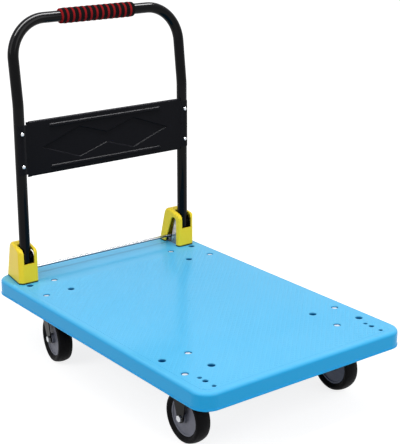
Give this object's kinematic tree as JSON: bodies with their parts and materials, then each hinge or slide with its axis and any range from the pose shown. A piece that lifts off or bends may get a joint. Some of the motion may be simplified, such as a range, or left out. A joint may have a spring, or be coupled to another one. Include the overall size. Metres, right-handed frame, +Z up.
{
  "type": "folding platform truck",
  "caption": "Flat plastic platform truck on casters, with a bent-tube push handle that folds down over the deck when the rod between its hinges is pressed.",
  "frame": {"origin": "on the floor under the middle of the deck", "axes": "+X forward, away from the handle, +Y to the left, +Z up"},
  "size_m": [0.9, 0.6, 0.88],
  "materials": {
    "deck_plastic": "semi-gloss moulded plastic with a fine anti-slip top",
    "cover_plastic": "smooth moulded plastic",
    "black_enamel": "gloss black enamel",
    "zinc": "bright zinc plate",
    "steel": "plain steel",
    "black_foam": "soft foam",
    "red_foam": "soft foam",
    "tyre_rubber": "matte rubber",
    "hub_plastic": "matte moulded plastic",
    "black_plastic": "matte moulded plastic"
  },
  "bodies": {
    "chassis": {"deck": "deck_plastic", "bracket_bolts": "zinc", "bracket_nuts": "zinc", "caster_bolts_shallow": "zinc", "caster_bolts_deep": "zinc", "caster_nuts": "zinc", "hinge_bracket_left": "zinc", "hinge_cover_left": "cover_plastic", "pivot_pin_left": "steel", "latch_pin_left": "steel", "latch_spring_left": "steel", "front_fork_left": "black_enamel", "swivel_plate_left": "black_enamel", "kingpin_left": "steel", "hinge_bracket_right": "zinc", "hinge_cover_right": "cover_plastic", "pivot_pin_right": "steel", "latch_pin_right": "steel", "latch_spring_right": "steel", "front_fork_right": "black_enamel", "swivel_plate_right": "black_enamel", "kingpin_right": "steel", "axle_front_left": "zinc", "axle_nut_front_left": "zinc", "axle_front_right": "zinc", "axle_nut_front_right": "zinc"},
    "handle": {"handle_tube": "black_enamel", "pivot_bushes": "black_plastic", "tube_caps": "black_plastic", "back_plate": "black_enamel", "plate_rivets": "zinc", "grip_sleeve": "black_foam", "grip_rings": "red_foam"},
    "release": {"release_rod": "zinc", "rod_clips": "steel", "latch_lever_left": "zinc", "latch_lever_right": "zinc"},
    "swivel_left": {"rear_fork_left": "black_enamel", "swivel_balls_left": "steel", "axle_rear_left": "zinc", "axle_nut_rear_left": "zinc"},
    "swivel_right": {"rear_fork_right": "black_enamel", "swivel_balls_right": "steel", "axle_rear_right": "zinc", "axle_nut_rear_right": "zinc"},
    "wheel_front_left": {"tyre_front_left": "tyre_rubber", "hub_front_left": "hub_plastic", "wheel_bush_front_left": "steel"},
    "wheel_front_right": {"tyre_front_right": "tyre_rubber", "hub_front_right": "hub_plastic", "wheel_bush_front_right": "steel"},
    "wheel_rear_left": {"tyre_rear_left": "tyre_rubber", "hub_rear_left": "hub_plastic", "wheel_bush_rear_left": "steel"},
    "wheel_rear_right": {"tyre_rear_right": "tyre_rubber", "hub_rear_right": "hub_plastic", "wheel_bush_rear_right": "steel"}
  },
  "joints": [
    {"name": "handle_fold", "type": "hinge", "parent": "chassis", "child": "handle", "pos_m": [-0.3675, 0, 0.256], "axis": [0, 1, 0], "range_deg": [0, 90]},
    {"name": "release_press", "type": "hinge", "parent": "chassis", "child": "release", "pos_m": [-0.385, 0, 0.2005], "axis": [0, -1, 0], "range_deg": [0, 10], "stiffness_Nm_per_rad": 2, "springref_deg": -8.59, "deforming": ["latch_spring_left", "latch_spring_right"]},
    {"name": "swivel_turn_left", "type": "hinge", "parent": "chassis", "child": "swivel_left", "pos_m": [-0.2926, 0.224, 0.1465], "axis": [0, 0, 1], "continuous": true},
    {"name": "swivel_turn_right", "type": "hinge", "parent": "chassis", "child": "swivel_right", "pos_m": [-0.2926, -0.224, 0.1465], "axis": [0, 0, 1], "continuous": true},
    {"name": "wheel_spin_front_left", "type": "hinge", "parent": "chassis", "child": "wheel_front_left", "pos_m": [0.2976, 0.224, 0.0625], "axis": [0, 1, 0], "continuous": true},
    {"name": "wheel_spin_front_right", "type": "hinge", "parent": "chassis", "child": "wheel_front_right", "pos_m": [0.2976, -0.224, 0.0625], "axis": [0, 1, 0], "continuous": true},
    {"name": "wheel_spin_rear_left", "type": "hinge", "parent": "swivel_left", "child": "wheel_rear_left", "pos_m": [-0.25704, 0.21837, 0.0625], "axis": [0.1564, 0.9877, 0], "continuous": true},
    {"name": "wheel_spin_rear_right", "type": "hinge", "parent": "swivel_right", "child": "wheel_rear_right", "pos_m": [-0.25704, -0.22963, 0.0625], "axis": [0.1564, 0.9877, 0], "continuous": true}
  ]
}
